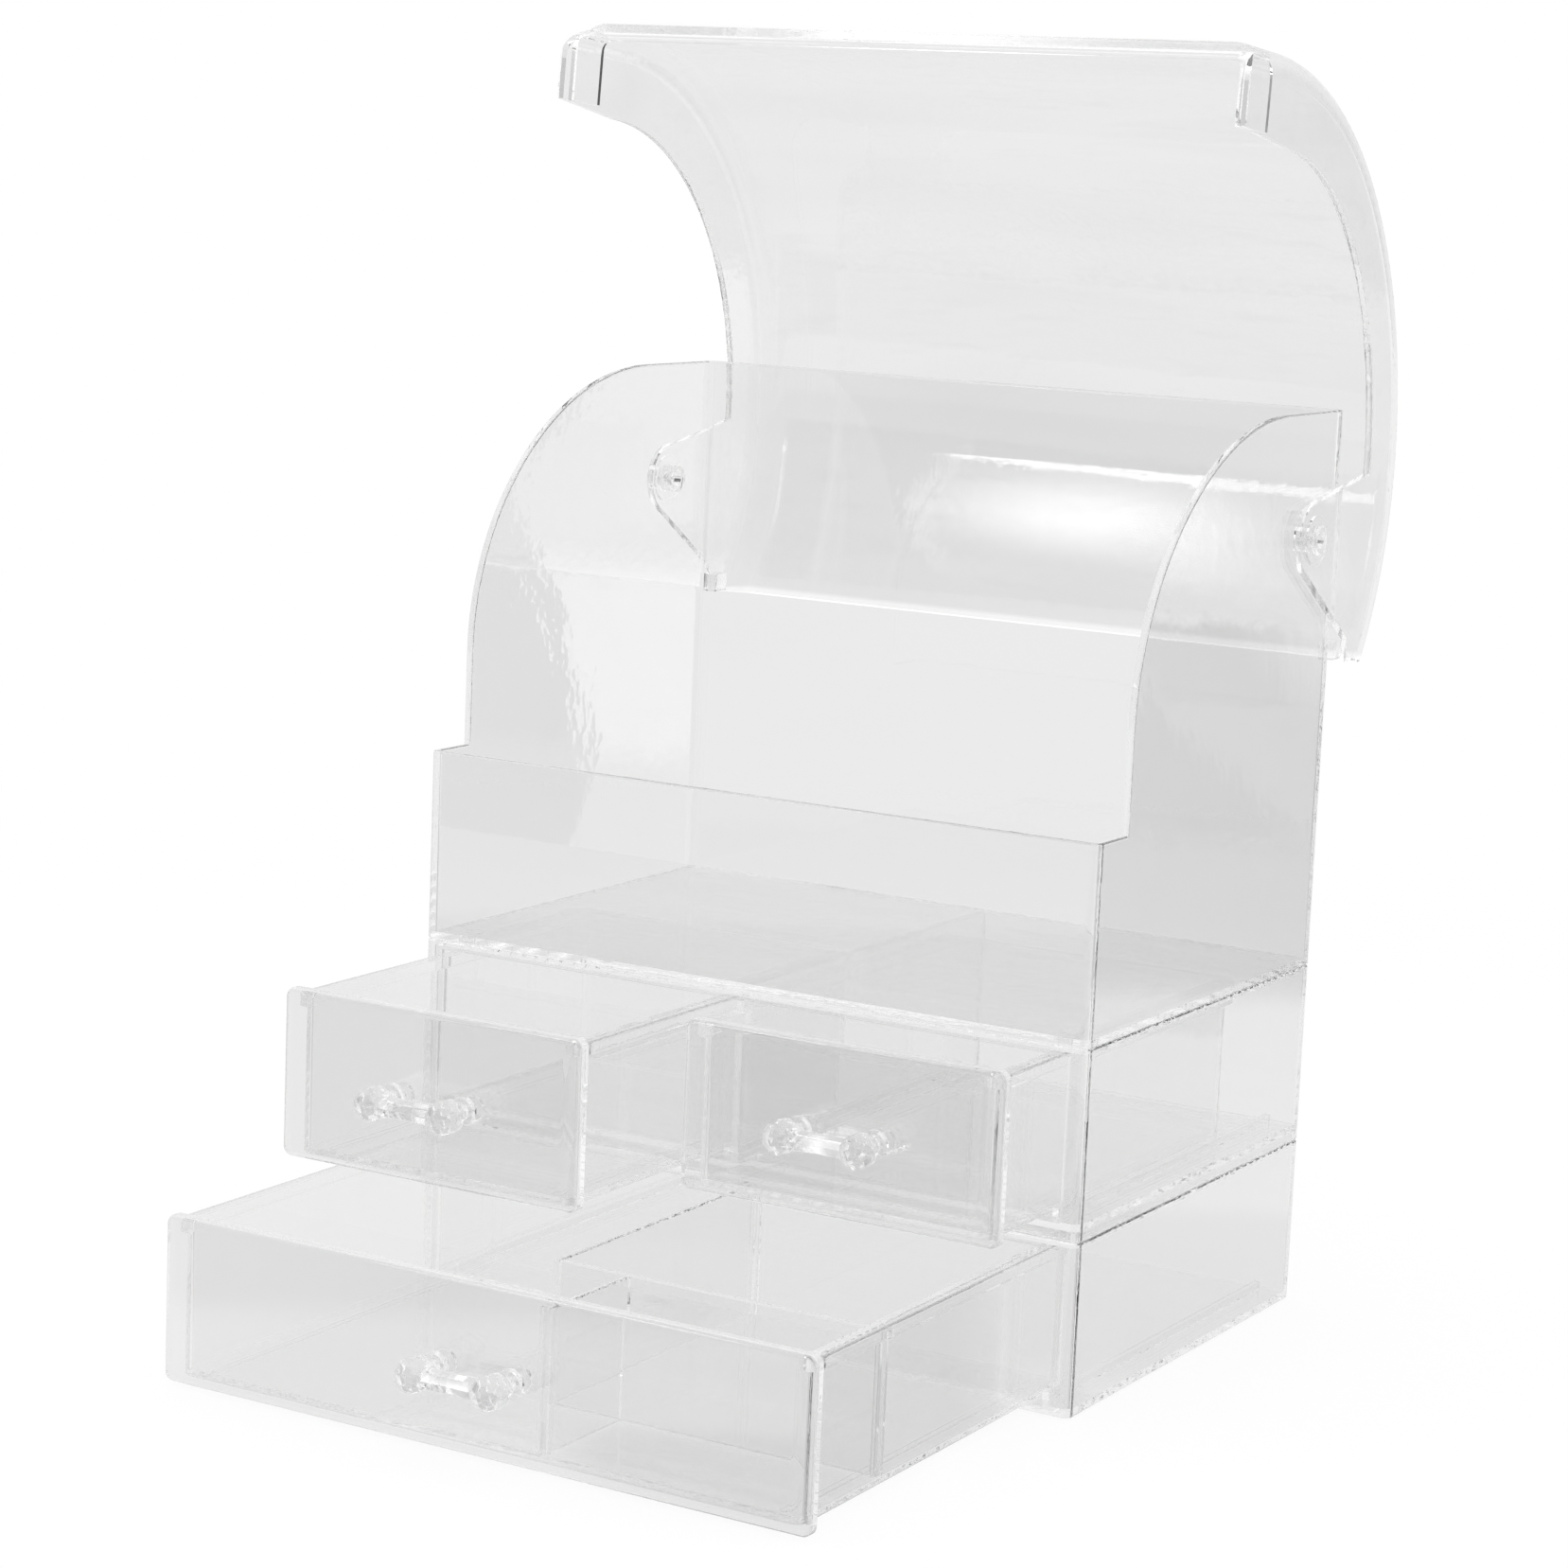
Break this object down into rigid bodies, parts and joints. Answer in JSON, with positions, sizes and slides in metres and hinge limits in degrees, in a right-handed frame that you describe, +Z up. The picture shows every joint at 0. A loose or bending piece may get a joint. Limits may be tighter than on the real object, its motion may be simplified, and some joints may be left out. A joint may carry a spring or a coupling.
{
  "type": "cosmetic storage box with drawers",
  "caption": "Clear plastic cosmetic box: a deep open tray with a curved hinged lid, above two small drawers and one wide drawer with moulded pulls.",
  "frame": {"origin": "centre of the underside of the bottom casing", "axes": "+X to the right seen from the front, +Y to the back, +Z up; drawers pull out along -Y"},
  "size_m": [0.2506, 0.3617, 0.4073],
  "materials": {
    "clear_case": "clear, glossy",
    "clear_lid": "clear, glossy",
    "clear_drawer": "clear, glossy",
    "clear_panel": "clear, glossy",
    "clear_pull": "clear, faceted, glossy",
    "clear_hardware": "clear, glossy"
  },
  "bodies": {
    "case": {"bottom_casing": "clear_case", "middle_casing": "clear_case", "partition": "clear_case", "top_box": "clear_case", "hinge_pins": "clear_hardware", "pin_caps": "clear_hardware"},
    "lid": {"lid": "clear_lid"},
    "drawer_large": {"large_tray": "clear_drawer", "large_panel": "clear_panel", "large_pull": "clear_pull", "large_caps": "clear_hardware", "long_divider": "clear_drawer", "cross_divider": "clear_drawer", "short_divider": "clear_drawer"},
    "drawer_left": {"left_tray": "clear_drawer", "left_panel": "clear_panel", "left_pull": "clear_pull", "left_caps": "clear_hardware"},
    "drawer_right": {"right_tray": "clear_drawer", "right_panel": "clear_panel", "right_pull": "clear_pull", "right_caps": "clear_hardware"}
  },
  "joints": [
    {"name": "lid_hinge", "type": "hinge", "parent": "case", "child": "lid", "pos_m": [0, 0.056, 0.2545], "axis": [1, 0, 0], "range_deg": [0, 95]},
    {"name": "drawer_large_slide", "type": "slide", "parent": "case", "child": "drawer_large", "axis": [0, 1, 0], "range_m": [-0.0058, 0.1342]},
    {"name": "drawer_left_slide", "type": "slide", "parent": "case", "child": "drawer_left", "axis": [0, 1, 0], "range_m": [-0.0612, 0.0788]},
    {"name": "drawer_right_slide", "type": "slide", "parent": "case", "child": "drawer_right", "axis": [0, 1, 0], "range_m": [-0.1069, 0.0331]}
  ]
}
